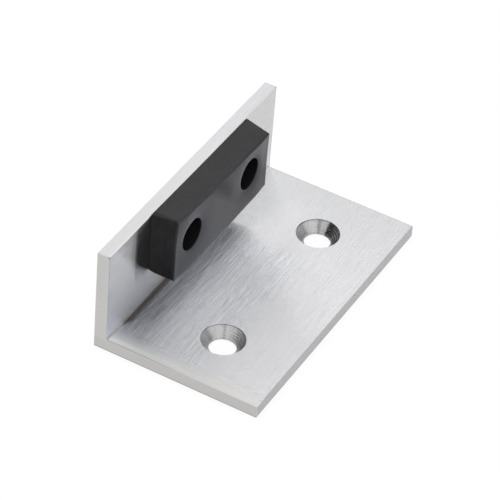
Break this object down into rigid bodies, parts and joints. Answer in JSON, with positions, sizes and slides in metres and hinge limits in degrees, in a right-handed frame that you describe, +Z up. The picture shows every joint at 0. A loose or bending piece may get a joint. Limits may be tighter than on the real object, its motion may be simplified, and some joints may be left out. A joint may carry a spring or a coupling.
{
  "type": "angle door stop",
  "caption": "Floor-mounted aluminium angle door stop with a screwed-on black rubber buffer and countersunk floor holes.",
  "frame": {"origin": "middle of the footprint, on the underside of the base", "axes": "+X along the length of the angle, +Y from the free edge of the base to the upright, +Z up from the floor; the rubber faces -Y"},
  "size_m": [0.07, 0.04, 0.0263],
  "materials": {
    "satin_aluminium": "satin",
    "black_rubber": "matte",
    "zinc_steel": "satin"
  },
  "bodies": {
    "root": {"angle_plate": "satin_aluminium", "rubber_buffer": "black_rubber", "rubber_screw_left": "zinc_steel", "rubber_screw_right": "zinc_steel"}
  },
  "joints": []
}
